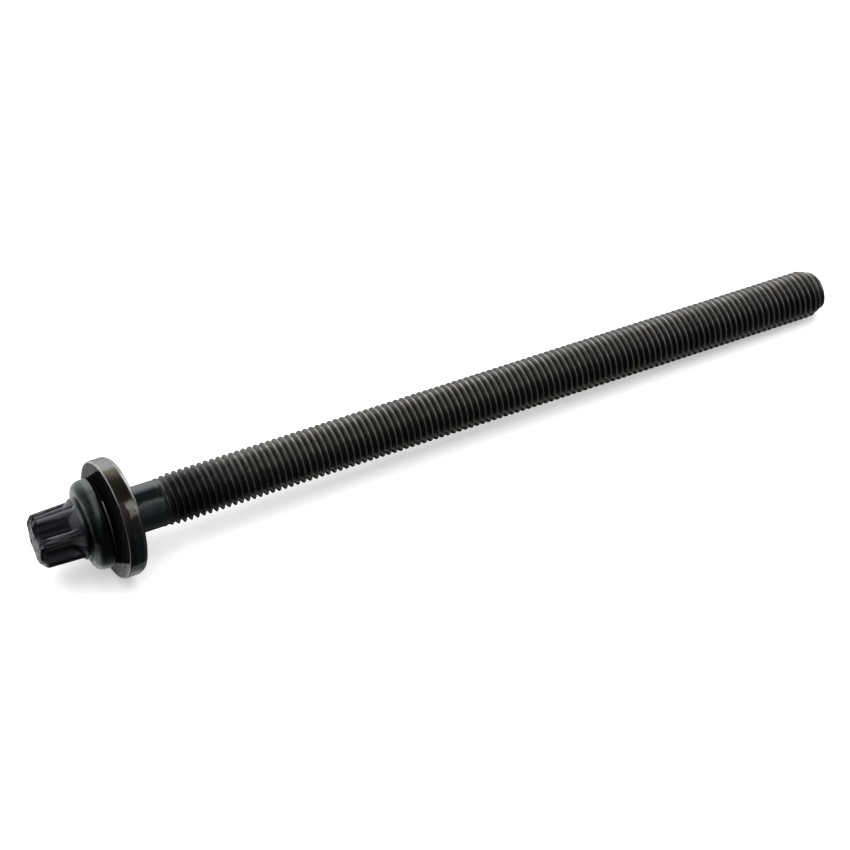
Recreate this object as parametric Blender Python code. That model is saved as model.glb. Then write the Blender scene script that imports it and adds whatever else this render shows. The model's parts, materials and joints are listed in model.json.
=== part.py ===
# Cylinder head bolt with an external six-lobe drive, a flange and a captive thick washer.
# It lies as it comes to rest: on the rim of its washer and on the last crests of its thread.
# Each piece is modelled along its own +Z, which points from the head towards the tip.
# The flange's underside is z = 0 of the bolt, and the washer's face by the flange is z = 0 of the washer.
# The finished part has its origin at the bottom centre of its box, with the tip towards +X.

import math

import bmesh
import bpy
import numpy as np
from mathutils import Matrix, Vector

MM = 0.001

# Shank, measured from the flange's underside
SHANK_LENGTH = 185.0 * MM
NECK_LENGTH = 13.0 * MM
NECK_RADIUS = 5.3 * MM
NECK_FILLET = 0.7 * MM

# Thread, right-hand with one start
THREAD_RADIUS = 5.925 * MM
THREAD_PITCH = 1.5 * MM
THREAD_DEPTH = 0.92 * MM
THREAD_RUNOUT = 4.5 * MM
THREAD_SIDES = 20

# Point of the shank: a long chamfer, then a rounded edge to a flat end
POINT_LENGTH = 4.0 * MM
POINT_RADIUS = 4.75 * MM
POINT_EDGE = 1.0 * MM
POINT_END_RADIUS = 3.6 * MM

# Drive, a six-lobe profile with tangent arcs, with its radii as they are at the collar
DRIVE_HEIGHT = 14.8 * MM
DRIVE_RADIUS = 6.8 * MM
FLUTE_FLOOR_RADIUS = 4.6 * MM
LOBE_TIP_RADIUS = 1.05 * MM
DRIVE_LOBES = 6
COLUMNS_PER_LOBE = 10
DRIVE_TURN = math.radians(48.0)
DRIVE_END_SHARE = 0.95
DRIVE_END_RADIUS = 4.9 * MM
DRIVE_CHAMFER = 1.25 * MM
DRIVE_EDGE_BREAK = 0.25 * MM
DRIVE_END_DISH = 0.15 * MM

# Collar, a cone that the flutes run out on, between the drive and the flange
COLLAR_HEIGHT = 5.0 * MM
COLLAR_RADIUS = 6.95 * MM
COLLAR_CONE_ANGLE = math.radians(42.0)

# Flange: a domed shoulder, a short upright side and a rounded edge at the seat
FLANGE_THICKNESS = 3.95 * MM
FLANGE_RADIUS = 10.15 * MM
SHOULDER_WIDTH = 2.2 * MM
SHOULDER_HEIGHT = 1.4 * MM
SHOULDER_STEPS = 4
FLANGE_EDGE = 0.9 * MM
FLANGE_EDGE_STEPS = 2

# Washer, loose on the neck and held there by the thread, which is wider than its bore
WASHER_RADIUS = 13.5 * MM
WASHER_THICKNESS = 4.2 * MM
WASHER_BORE_RADIUS = 5.8 * MM
WASHER_RIM_EDGE = 0.35 * MM
WASHER_BORE_EDGE = 0.3 * MM
WASHER_SIDES = 40
EDGE_STEPS = 3

# Lean of the washer about its middle: its upper part, and its part on the -Y side, lie nearer the tip
WASHER_LEAN_UP = math.radians(4.6)
WASHER_LEAN_SIDE = math.radians(4.3)
WASHER_CLEARANCE = 0.25 * MM

# Resting pose
STEEPEST_REST = math.radians(20.0)
HALVINGS = 40

SHARP_ANGLE = math.radians(32.0)
BLACK_STEEL = ((0.035, 0.036, 0.038, 1.0), 0.38, 0.9)
BARE_STEEL = ((0.30, 0.29, 0.27, 1.0), 0.42, 1.0)


def clear_scene():
    for item in list(bpy.data.objects):
        bpy.data.objects.remove(item, do_unlink=True)


def steel_material(name, finish):
    colour, roughness, metallic = finish
    material = bpy.data.materials.new(name)
    material.use_nodes = True
    shader = material.node_tree.nodes["Principled BSDF"]
    shader.inputs["Base Color"].default_value = colour
    shader.inputs["Roughness"].default_value = roughness
    shader.inputs["Metallic"].default_value = metallic
    return material


def make_object(name, bm, material):
    bmesh.ops.recalc_face_normals(bm, faces=bm.faces[:])
    mesh = bpy.data.meshes.new(name)
    bm.to_mesh(mesh)
    bm.free()
    mesh.shade_smooth()
    mesh.set_sharp_from_angle(angle=SHARP_ANGLE)
    mesh.materials.append(material)
    item = bpy.data.objects.new(name, mesh)
    bpy.context.collection.objects.link(item)
    return item


def polar(radius, angle, z):
    return (radius * math.cos(angle), radius * math.sin(angle), z)


def bridge(bm, first, second):
    """Quads between two closed loops with as many vertices."""
    count = len(first)
    for k in range(count):
        after = (k + 1) % count
        bm.faces.new((first[k], first[after], second[after], second[k]))


def bridge_fan(bm, wide, narrow):
    """Flat faces between a loop and a loop with a whole fraction of its vertices."""
    share = len(wide) // len(narrow)
    for k in range(len(narrow)):
        start = k * share
        outer = [wide[(start + m) % len(wide)] for m in range(share + 1)]
        bm.faces.new(outer + [narrow[(k + 1) % len(narrow)], narrow[k]])


def lobe_outline(angle):
    """Radius of the six-lobe profile at an angle from the middle of a lobe."""
    half_step = math.pi / DRIVE_LOBES
    across = (angle + half_step) % (2.0 * half_step) - half_step
    across = abs(across)
    lobe_centre = DRIVE_RADIUS - LOBE_TIP_RADIUS
    reach = lobe_centre * math.cos(half_step)
    flute_radius = (
        lobe_centre ** 2 + FLUTE_FLOOR_RADIUS ** 2 - 2.0 * reach * FLUTE_FLOOR_RADIUS - LOBE_TIP_RADIUS ** 2
    ) / (2.0 * (LOBE_TIP_RADIUS - FLUTE_FLOOR_RADIUS + reach))
    flute_centre = FLUTE_FLOOR_RADIUS + flute_radius
    share = LOBE_TIP_RADIUS / (LOBE_TIP_RADIUS + flute_radius)
    meeting_x = lobe_centre + share * (flute_centre * math.cos(half_step) - lobe_centre)
    meeting_y = share * flute_centre * math.sin(half_step)
    if across < math.atan2(meeting_y, meeting_x):
        offset = lobe_centre * math.sin(across)
        return lobe_centre * math.cos(across) + math.sqrt(LOBE_TIP_RADIUS ** 2 - offset ** 2)
    offset = flute_centre * math.sin(half_step - across)
    return flute_centre * math.cos(half_step - across) - math.sqrt(flute_radius ** 2 - offset ** 2)


def drive_rings(bm, angles):
    """Dished end, chamfered and tapered lobes, flutes, and their run-out on the collar's cone."""
    top = -DRIVE_HEIGHT
    slope = DRIVE_CHAMFER / (DRIVE_RADIUS * DRIVE_END_SHARE - DRIVE_END_RADIUS)
    rows = [[], [], [], [], []]
    for angle in angles:
        turned = angle + DRIVE_TURN
        radius = lobe_outline(angle)
        narrow = radius * DRIVE_END_SHARE
        end_radius = min(narrow - DRIVE_EDGE_BREAK, DRIVE_END_RADIUS)
        chamfer = max(DRIVE_EDGE_BREAK, (narrow - DRIVE_END_RADIUS) * slope)
        cone = -COLLAR_HEIGHT - (COLLAR_RADIUS - radius) / math.tan(COLLAR_CONE_ANGLE)
        rows[0].append(bm.verts.new(polar(end_radius * 0.5, turned, top + DRIVE_END_DISH)))
        rows[1].append(bm.verts.new(polar(end_radius, turned, top)))
        rows[2].append(bm.verts.new(polar(narrow, turned, top + chamfer)))
        rows[3].append(bm.verts.new(polar(radius, turned, cone)))
        rows[4].append(bm.verts.new(polar(COLLAR_RADIUS, turned, -COLLAR_HEIGHT)))
    bm.faces.new(rows[0])
    return rows


def flange_profile():
    """Points (radius, z) from the crease at the collar to the seat."""
    points = [(COLLAR_RADIUS, -FLANGE_THICKNESS)]
    for step in range(SHOULDER_STEPS + 1):
        turn = 0.5 * math.pi * step / SHOULDER_STEPS
        points.append((
            FLANGE_RADIUS - SHOULDER_WIDTH * (1.0 - math.sin(turn)),
            SHOULDER_HEIGHT * (1.0 - math.cos(turn)) - FLANGE_THICKNESS,
        ))
    for step in range(FLANGE_EDGE_STEPS + 1):
        turn = 0.5 * math.pi * step / FLANGE_EDGE_STEPS
        points.append((
            FLANGE_RADIUS - FLANGE_EDGE * (1.0 - math.cos(turn)),
            FLANGE_EDGE * (math.sin(turn) - 1.0),
        ))
    return points


def thread_height(z):
    """Share of the full thread at z: none at the neck, all of it after the run-out."""
    return min(max((z - NECK_LENGTH) / THREAD_RUNOUT, 0.0), 1.0)


def point_radius(z):
    """Radius that the point leaves at z."""
    from_end = SHANK_LENGTH - z
    if from_end < POINT_EDGE:
        return POINT_END_RADIUS + (POINT_RADIUS - POINT_END_RADIUS) * from_end / POINT_EDGE
    slope = (THREAD_RADIUS - POINT_RADIUS) / (POINT_LENGTH - POINT_EDGE)
    return POINT_RADIUS + slope * (from_end - POINT_EDGE)


def thread_vertex(bm, row, column):
    """Vertex on a crest line (odd rows) or on a root line (even rows) of the helix."""
    z = NECK_LENGTH + THREAD_PITCH * (0.5 * row + column / THREAD_SIDES)
    full = THREAD_RADIUS if row % 2 else THREAD_RADIUS - THREAD_DEPTH
    radius = NECK_RADIUS + (full - NECK_RADIUS) * thread_height(z)
    radius = min(radius, point_radius(z))
    angle = 2.0 * math.pi * (column + 0.5) / THREAD_SIDES
    return bm.verts.new(polar(radius, angle, z))


def thread_skin(bm, neck_ring, point_ring):
    """Helical thread: after one turn a column meets itself two rows on."""
    room = SHANK_LENGTH - POINT_EDGE - NECK_LENGTH - THREAD_PITCH
    rows = int(room / (0.5 * THREAD_PITCH))
    last = THREAD_SIDES - 1
    grid = []
    for column in range(THREAD_SIDES):
        grid.append([thread_vertex(bm, row, column) for row in range(rows + 1)])
    for column in range(last):
        for row in range(rows):
            bm.faces.new((
                grid[column][row], grid[column + 1][row],
                grid[column + 1][row + 1], grid[column][row + 1],
            ))
        bm.faces.new((neck_ring[column], neck_ring[column + 1], grid[column + 1][0], grid[column][0]))
        bm.faces.new((grid[column][-1], grid[column + 1][-1], point_ring[column + 1], point_ring[column]))
    for row in range(rows - 2):
        bm.faces.new((grid[last][row], grid[0][row + 2], grid[0][row + 3], grid[last][row + 1]))
    bm.faces.new((neck_ring[last], neck_ring[0], grid[0][0], grid[0][1], grid[0][2], grid[last][0]))
    bm.faces.new((
        grid[0][-1], point_ring[0], point_ring[last],
        grid[last][-1], grid[last][-2], grid[last][-3],
    ))


def shank_rings(bm):
    """Rings of the neck's fillet and neck, and of the flat end of the point."""
    def ring(radius, z):
        return [
            bm.verts.new(polar(radius, 2.0 * math.pi * (k + 0.5) / THREAD_SIDES, z))
            for k in range(THREAD_SIDES)
        ]

    fillet = []
    for step in range(EDGE_STEPS + 1):
        turn = 0.5 * math.pi * step / EDGE_STEPS
        fillet.append(ring(
            NECK_RADIUS + NECK_FILLET * (1.0 - math.sin(turn)),
            NECK_FILLET * (1.0 - math.cos(turn)),
        ))
    neck_end = ring(NECK_RADIUS, NECK_LENGTH - 0.5 * THREAD_PITCH)
    point_start = ring(POINT_RADIUS, SHANK_LENGTH - POINT_EDGE)
    point_end = ring(POINT_END_RADIUS, SHANK_LENGTH)
    return fillet, neck_end, point_start, point_end


def build_bolt():
    """One forged and rolled piece: drive, collar, flange, neck and threaded shank."""
    bm = bmesh.new()
    columns = DRIVE_LOBES * COLUMNS_PER_LOBE
    angles = [2.0 * math.pi * k / columns for k in range(columns)]
    head = drive_rings(bm, angles)
    for radius, z in flange_profile():
        head.append([bm.verts.new(polar(radius, angle + DRIVE_TURN, z)) for angle in angles])
    for first, second in zip(head, head[1:]):
        bridge(bm, first, second)
    fillet, neck_end, point_start, point_end = shank_rings(bm)
    bridge_fan(bm, head[-1], fillet[0])
    for first, second in zip(fillet, fillet[1:] + [neck_end]):
        bridge(bm, first, second)
    thread_skin(bm, neck_end, point_start)
    bridge(bm, point_start, point_end)
    bm.faces.new(point_end)
    bmesh.ops.triangulate(bm, faces=bm.faces[:])
    return make_object("bolt", bm, steel_material("black_steel", BLACK_STEEL))


def washer_profile():
    """Closed section (radius, z): rounded rim edges and broken bore edges."""
    points = [
        (WASHER_BORE_RADIUS, WASHER_BORE_EDGE),
        (WASHER_BORE_RADIUS + WASHER_BORE_EDGE, 0.0),
    ]
    for centre_z, start in ((WASHER_RIM_EDGE, -0.5), (WASHER_THICKNESS - WASHER_RIM_EDGE, 0.0)):
        for step in range(EDGE_STEPS + 1):
            turn = math.pi * (start + 0.5 * step / EDGE_STEPS)
            points.append((
                WASHER_RADIUS - WASHER_RIM_EDGE + WASHER_RIM_EDGE * math.cos(turn),
                centre_z + WASHER_RIM_EDGE * math.sin(turn),
            ))
    points.append((WASHER_BORE_RADIUS + WASHER_BORE_EDGE, WASHER_THICKNESS))
    points.append((WASHER_BORE_RADIUS, WASHER_THICKNESS - WASHER_BORE_EDGE))
    return points


def build_washer():
    """Thick flat ring, spun from its section, with one flat of its rim centred on local +X."""
    bm = bmesh.new()
    start = math.pi / WASHER_SIDES
    section = [bm.verts.new(polar(radius, start, z)) for radius, z in washer_profile()]
    edges = [bm.edges.new((section[k - 1], section[k])) for k in range(len(section))]
    bmesh.ops.spin(
        bm, geom=section + edges, cent=(0.0, 0.0, 0.0), axis=(0.0, 0.0, 1.0),
        angle=2.0 * math.pi, steps=WASHER_SIDES, use_merge=True, use_duplicate=False,
    )
    bmesh.ops.triangulate(bm, faces=bm.faces[:])
    return make_object("washer", bm, steel_material("bare_steel", BARE_STEEL))


def frame_matrix(place, along, down):
    """Matrix whose local +Z is along and whose local +X is as near down as it can be."""
    z_axis = along.normalized()
    x_axis = (down - z_axis * down.dot(z_axis)).normalized()
    y_axis = z_axis.cross(x_axis)
    turn = Matrix((x_axis, y_axis, z_axis)).transposed().to_4x4()
    return Matrix.Translation(place) @ turn


def pose_matrices(slope):
    """Poses of the bolt and the washer when the bolt's axis dips by slope towards the tip."""
    down = Vector((0.0, 0.0, -1.0))
    bolt = frame_matrix(Vector(), Vector((math.cos(slope), 0.0, -math.sin(slope))), down)
    normal = Vector((math.tan(WASHER_LEAN_UP), math.tan(WASHER_LEAN_SIDE), 1.0)).normalized()
    lean = math.hypot(normal.x, normal.y) / normal.z
    gap_on_axis = (FLANGE_RADIUS - FLANGE_EDGE) * lean + WASHER_CLEARANCE
    place = Vector((0.0, 0.0, gap_on_axis + 0.5 * WASHER_THICKNESS)) - 0.5 * WASHER_THICKNESS * normal
    rotation = bolt.to_3x3()
    washer = frame_matrix(rotation @ place, rotation @ normal, down)
    return bolt, washer


def points_of(item, matrix):
    coordinates = np.array([vertex.co for vertex in item.data.vertices])
    rotation = np.array(matrix.to_3x3())
    return coordinates @ rotation.T + np.array(matrix.translation)


def rest_slope(bolt, washer):
    """Slope at which the washer's rim and the thread's last crests touch one level plane."""
    low = 0.0
    high = STEEPEST_REST
    for _ in range(HALVINGS):
        middle = 0.5 * (low + high)
        bolt_pose, washer_pose = pose_matrices(middle)
        if points_of(bolt, bolt_pose)[:, 2].min() > points_of(washer, washer_pose)[:, 2].min():
            low = middle
        else:
            high = middle
    return 0.5 * (low + high)


def lay_down(bolt, washer):
    """Put both pieces at rest, with the origin at the bottom centre of their box."""
    bolt_pose, washer_pose = pose_matrices(rest_slope(bolt, washer))
    points = np.vstack((points_of(bolt, bolt_pose), points_of(washer, washer_pose)))
    low = points.min(axis=0)
    high = points.max(axis=0)
    bottom = Vector((0.5 * (low[0] + high[0]), 0.5 * (low[1] + high[1]), low[2]))
    rest = bpy.data.objects.new("rest_frame", None)
    bpy.context.collection.objects.link(rest)
    rest.location = -bottom
    for item, pose in ((bolt, bolt_pose), (washer, washer_pose)):
        item.parent = rest
        item.matrix_local = pose


def main():
    clear_scene()
    bolt = build_bolt()
    washer = build_washer()
    lay_down(bolt, washer)
    bpy.context.view_layer.update()


main()
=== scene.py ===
import json
import math

import bmesh
import bpy
import numpy as np
from mathutils import Matrix, Vector

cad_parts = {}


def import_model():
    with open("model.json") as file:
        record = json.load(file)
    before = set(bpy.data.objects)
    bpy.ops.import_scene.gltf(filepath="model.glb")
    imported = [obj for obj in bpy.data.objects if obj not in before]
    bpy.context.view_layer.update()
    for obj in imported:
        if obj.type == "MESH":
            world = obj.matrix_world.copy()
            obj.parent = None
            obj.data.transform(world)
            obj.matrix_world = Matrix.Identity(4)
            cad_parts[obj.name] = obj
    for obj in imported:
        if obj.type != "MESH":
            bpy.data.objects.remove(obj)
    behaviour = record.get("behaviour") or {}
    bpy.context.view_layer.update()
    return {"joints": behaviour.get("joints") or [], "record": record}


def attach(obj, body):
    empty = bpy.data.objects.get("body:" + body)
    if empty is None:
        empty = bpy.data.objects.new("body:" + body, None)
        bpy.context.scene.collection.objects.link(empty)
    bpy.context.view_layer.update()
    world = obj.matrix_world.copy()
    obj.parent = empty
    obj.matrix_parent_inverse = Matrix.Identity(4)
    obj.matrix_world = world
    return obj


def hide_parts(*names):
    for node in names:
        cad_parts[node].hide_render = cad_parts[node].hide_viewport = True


MM = 0.001

# Sizes of bolt and washer: z = 0 is the flange's underside, and +z points to the tip. They are those of the
# part's source, but for the rounder shoulder and the sharper lower edge of the flange
SHANK_LENGTH = 185.0 * MM
NECK_LENGTH = 13.0 * MM
NECK_RADIUS = 5.3 * MM
NECK_FILLET = 0.7 * MM
THREAD_PITCH = 1.5 * MM
THREAD_DEPTH = 0.92 * MM
THREAD_RUNOUT = 4.5 * MM
POINT_LENGTH = 4.0 * MM
POINT_RADIUS = 4.75 * MM
POINT_EDGE = 1.0 * MM
POINT_END_RADIUS = 3.6 * MM
DRIVE_HEIGHT = 14.8 * MM
DRIVE_RADIUS = 6.8 * MM
FLUTE_FLOOR_RADIUS = 4.6 * MM
LOBE_TIP_RADIUS = 1.05 * MM
DRIVE_LOBES = 6
DRIVE_TURN = math.radians(48.0)
DRIVE_END_SHARE = 0.95
DRIVE_END_RADIUS = 4.9 * MM
DRIVE_CHAMFER = 1.25 * MM
DRIVE_EDGE_BREAK = 0.25 * MM
DRIVE_END_DISH = 0.15 * MM
COLLAR_HEIGHT = 5.0 * MM
COLLAR_RADIUS = 6.95 * MM
COLLAR_CONE_ANGLE = math.radians(42.0)
FLANGE_THICKNESS = 3.95 * MM
FLANGE_RADIUS = 10.15 * MM
SHOULDER_WIDTH = 2.6 * MM
SHOULDER_HEIGHT = 2.9 * MM
SHOULDER_FULLNESS = 0.78
FLANGE_EDGE = 0.4 * MM
WASHER_THICKNESS = 4.2 * MM
WASHER_BORE_RADIUS = 5.8 * MM

# Round forms stay inside the facets of the part's solids, and the point's slope starts at their crests
THREAD_RADIUS = 5.83 * MM
FACETED_THREAD_RADIUS = 5.925 * MM
WASHER_RADIUS = 13.455 * MM
NEAR_RIM_EDGE = 0.38 * MM
FAR_RIM_EDGE = 0.85 * MM
FAR_RIM_SLOPE = 0.55
BORE_EDGE = 0.3 * MM
COLLAR_FILLET = 0.3 * MM

# Low ring under the flange, which ends clear of the leaning washer, and sinks where there is no room
SEAT_RADIUS = 9.3 * MM
SEAT_HEIGHT = 0.75 * MM
SEAT_SUNK = -0.05 * MM
SEAT_CLEARANCE = 0.12 * MM
SEAT_EDGE = 0.16 * MM
SEAT_GROOVE = 0.06 * MM

# Place of the helix along the shank, and the depth of thread that is left on the point
THREAD_PHASE = -0.43 * MM
POINT_GROOVE = 0.3 * MM

# Fineness of the meshes
MERGE_DISTANCE = 0.0002 * MM
COLLAR_STEPS = 6
SHOULDER_STEPS = 24
EDGE_STEPS = 10
FILLET_STEPS = 6
NECK_STEPS = 8
END_STEPS = 8
SHANK_COLUMNS = 60
HEAD_COLUMNS = 240
WASHER_COLUMNS = 192

# One turn of the thread, from root to root: (share of the pitch, share of the depth)
THREAD_SECTION = (
    (0.0, 0.0), (0.06, 0.03), (0.115, 0.13), (0.25, 0.47), (0.40, 0.86),
    (0.455, 0.985), (0.545, 0.985), (0.60, 0.86), (0.75, 0.47), (0.885, 0.13),
)

# Rounding of the inner corners of the drive's and the washer's line, and the parts of their long stretches
DRIVE_CUTS = (0.8 * MM, 0.12 * MM, 0.22 * MM, 0.3 * MM, 0.2 * MM)
DRIVE_PARTS = {0: 2, 5: 3, 10: 3, 15: 10, 20: 4, 25: 3}
WASHER_CUTS = (0.1 * MM, 0.1 * MM, NEAR_RIM_EDGE, 0.3 * MM, 0.15 * MM, 0.1 * MM, 0.1 * MM)
WASHER_PARTS = {10: 6, 15: 6, 25: 6}

# Camera, at the photograph's angle
CAMERA_ELEVATION = math.radians(48.64)
CAMERA_TURN = math.radians(25.48)
CAMERA_LENS_MM = 88.94
CAMERA_SENSOR_MM = 36.0
CAMERA_DISTANCE = 0.482
CAMERA_DROP = 0.001951
CAMERA_TARGET_ALONG = 78.6 * MM


# Node graphs

class Graph:
    """Short names for the shader nodes of one node tree."""

    def __init__(self, tree):
        self.tree = tree

    def node(self, kind, **settings):
        item = self.tree.nodes.new(kind)
        for name, value in settings.items():
            setattr(item, name, value)
        return item

    def put(self, socket, value):
        if isinstance(value, bpy.types.NodeSocket):
            self.tree.links.new(value, socket)
        else:
            socket.default_value = value

    def math(self, operation, *values):
        item = self.node("ShaderNodeMath", operation=operation)
        for socket, value in zip(item.inputs, values):
            self.put(socket, value)
        return item.outputs[0]

    def times(self, product, *factors):
        """Product of numbers."""
        for factor in factors:
            product = self.math("MULTIPLY", product, factor)
        return product

    def spread(self, noise, width):
        """A noise between 0 and 1, moved to lie about 0 over width."""
        return self.math("MULTIPLY_ADD", noise, width, -0.5 * width)

    def smooth(self, value, low, high):
        """0 below low, 1 above high and a smooth step between them; low may be the larger."""
        item = self.node("ShaderNodeMapRange", interpolation_type="SMOOTHSTEP")
        self.put(item.inputs["Value"], value)
        flip = low > high
        item.inputs["From Min"].default_value = high if flip else low
        item.inputs["From Max"].default_value = low if flip else high
        item.inputs["To Min"].default_value = 1.0 if flip else 0.0
        item.inputs["To Max"].default_value = 0.0 if flip else 1.0
        return item.outputs["Result"]

    def window(self, value, start, end, soft):
        """1 between start and end, falling to 0 over soft beyond them."""
        return self.times(self.smooth(value, start - soft, start), self.smooth(value, end + soft, end))

    def noise(self, vector, scale, detail=3.0, roughness=0.5, distortion=0.0):
        item = self.node("ShaderNodeTexNoise")
        self.put(item.inputs["Vector"], vector)
        item.inputs["Scale"].default_value = scale
        item.inputs["Detail"].default_value = detail
        item.inputs["Roughness"].default_value = roughness
        item.inputs["Distortion"].default_value = distortion
        return item.outputs["Fac"]

    def scaled(self, vector, factors):
        item = self.node("ShaderNodeVectorMath", operation="MULTIPLY")
        self.put(item.inputs[0], vector)
        item.inputs[1].default_value = factors
        return item.outputs[0]

    def mix(self, factor, first, second):
        """Colour that goes from first to second."""
        item = self.node("ShaderNodeMix", data_type="RGBA")
        self.put(item.inputs["Factor"], factor)
        self.put(item.inputs[6], first)
        self.put(item.inputs[7], second)
        return item.outputs[2]

    def blend(self, factor, first, second):
        """Number that goes from first to second."""
        item = self.node("ShaderNodeMix", data_type="FLOAT")
        self.put(item.inputs["Factor"], factor)
        self.put(item.inputs[2], first)
        self.put(item.inputs[3], second)
        return item.outputs[0]

    def multiply(self, first, second):
        """Product of two colours, which may go above 1."""
        item = self.node("ShaderNodeVectorMath", operation="MULTIPLY")
        for socket, value in zip(item.inputs, (first, second)):
            self.put(socket, value[:3] if isinstance(value, tuple) else value)
        return item.outputs[0]

    def bump(self, height, distance, strength=1.0, normal=None):
        item = self.node("ShaderNodeBump")
        self.put(item.inputs["Height"], height)
        item.inputs["Distance"].default_value = distance
        self.put(item.inputs["Strength"], strength)
        if normal is not None:
            self.put(item.inputs["Normal"], normal)
        return item.outputs["Normal"]

    def ramp(self, value, stops):
        """Colour ramp with straight steps between stops of (position, grey shade or colour)."""
        item = self.node("ShaderNodeValToRGB")
        self.put(item.inputs["Fac"], value)
        elements = item.color_ramp.elements
        while len(elements) > 1:
            elements.remove(elements[-1])
        elements[0].position = stops[0][0]
        for position, _ in stops[1:]:
            elements.new(position)
        for element, (_, shade) in zip(elements, stops):
            element.color = shade if isinstance(shade, tuple) else grey(shade)
        return item.outputs["Color"]


def colour(red, green, blue):
    return (red, green, blue, 1.0)


def grey(shade):
    return colour(shade, shade, shade)


def new_material(name):
    material = bpy.data.materials.new(name)
    material.use_nodes = True
    graph = Graph(material.node_tree)
    shader = material.node_tree.nodes["Principled BSDF"]
    return material, graph, shader


def cylinder_coordinates(graph, pose):
    """Place in the piece's own frame, with the distance from its axis, the angle round it and z."""
    mapping = graph.node("ShaderNodeMapping", vector_type="TEXTURE")
    graph.put(mapping.inputs["Vector"], graph.node("ShaderNodeTexCoord").outputs["Object"])
    mapping.inputs["Location"].default_value = pose.to_translation()
    mapping.inputs["Rotation"].default_value = pose.to_euler()
    place = mapping.outputs["Vector"]
    parts = graph.node("ShaderNodeSeparateXYZ")
    graph.put(parts.inputs[0], place)
    x, y, z = parts.outputs
    radius = graph.math("SQRT", graph.math("ADD", graph.times(x, x), graph.times(y, y)))
    angle = graph.math("ARCTAN2", y, x)
    return place, radius, angle, z


# Meshes

def polar_rings(rows, angles):
    """Vertices of rings: rows is (ring, column, 2) with radius and z, and angles has one value a column."""
    rows = np.asarray(rows)
    x = rows[..., 0] * np.cos(angles)
    y = rows[..., 0] * np.sin(angles)
    return np.stack((x, y, rows[..., 1] + np.zeros_like(x)), axis=-1)


def ring_faces(first, second):
    """Quads between two closed rings of vertex numbers."""
    count = len(first)
    return [(first[k], first[(k + 1) % count], second[(k + 1) % count], second[k]) for k in range(count)]


def ring_numbers(start, count, columns):
    """Vertex numbers of rings that follow each other from start."""
    return [list(range(start + k * columns, start + (k + 1) * columns)) for k in range(count)]


def round_rows(line, columns):
    """Rows of a round form, with the same line of (radius, z) points in every column."""
    return np.repeat(np.array(line)[:, None, :], columns, axis=1)


def softened(points, cuts, steps=4):
    """A line of (radius, z) points with every inner corner rounded over its own length of cut."""
    points = [np.asarray(point, float) for point in points]
    line = [points[0]]
    for before, corner, after, cut in zip(points, points[1:], points[2:], cuts):
        back = before - corner
        ahead = after - corner
        start = corner + back * min(cut / np.linalg.norm(back), 0.45)
        end = corner + ahead * min(cut / np.linalg.norm(ahead), 0.45)
        for step in range(steps + 1):
            share = step / steps
            line.append(start * (1 - share) ** 2 + corner * 2 * share * (1 - share) + end * share ** 2)
    line.append(points[-1])
    return line


def divided(line, counts):
    """Extra points on the straight stretches of a line: counts maps a stretch's number to its parts."""
    result = [line[0]]
    for number, (start, end) in enumerate(zip(line, line[1:])):
        parts = counts.get(number, 1)
        for step in range(1, parts + 1):
            result.append(start + (end - start) * step / parts)
    return result


def mesh_object(name, vertices, faces, material, pose):
    """Mesh whose own coordinates are those of the row frame, so that its box is its real one."""
    mesh = bpy.data.meshes.new(name)
    mesh.from_pydata([tuple(vertex) for vertex in vertices], [], faces)
    mesh.transform(pose)
    shape = bmesh.new()
    shape.from_mesh(mesh)
    bmesh.ops.remove_doubles(shape, verts=shape.verts[:], dist=MERGE_DISTANCE)
    bmesh.ops.recalc_face_normals(shape, faces=shape.faces[:])
    shape.to_mesh(mesh)
    shape.free()
    mesh.shade_smooth()
    mesh.materials.append(material)
    item = bpy.data.objects.new(name, mesh)
    bpy.context.scene.collection.objects.link(item)
    return item


def lobe_outline(angle):
    """Radius of the six-lobe profile at an angle from the middle of a lobe."""
    half_step = math.pi / DRIVE_LOBES
    across = abs((angle + half_step) % (2.0 * half_step) - half_step)
    lobe_centre = DRIVE_RADIUS - LOBE_TIP_RADIUS
    reach = lobe_centre * math.cos(half_step)
    flute_radius = (
        lobe_centre ** 2 + FLUTE_FLOOR_RADIUS ** 2 - 2.0 * reach * FLUTE_FLOOR_RADIUS - LOBE_TIP_RADIUS ** 2
    ) / (2.0 * (LOBE_TIP_RADIUS - FLUTE_FLOOR_RADIUS + reach))
    flute_centre = FLUTE_FLOOR_RADIUS + flute_radius
    share = LOBE_TIP_RADIUS / (LOBE_TIP_RADIUS + flute_radius)
    meeting_x = lobe_centre + share * (flute_centre * math.cos(half_step) - lobe_centre)
    meeting_y = share * flute_centre * math.sin(half_step)
    if across < math.atan2(meeting_y, meeting_x):
        offset = lobe_centre * math.sin(across)
        return lobe_centre * math.cos(across) + math.sqrt(LOBE_TIP_RADIUS ** 2 - offset ** 2)
    offset = flute_centre * math.sin(half_step - across)
    return flute_centre * math.cos(half_step - across) - math.sqrt(flute_radius ** 2 - offset ** 2)


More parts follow.
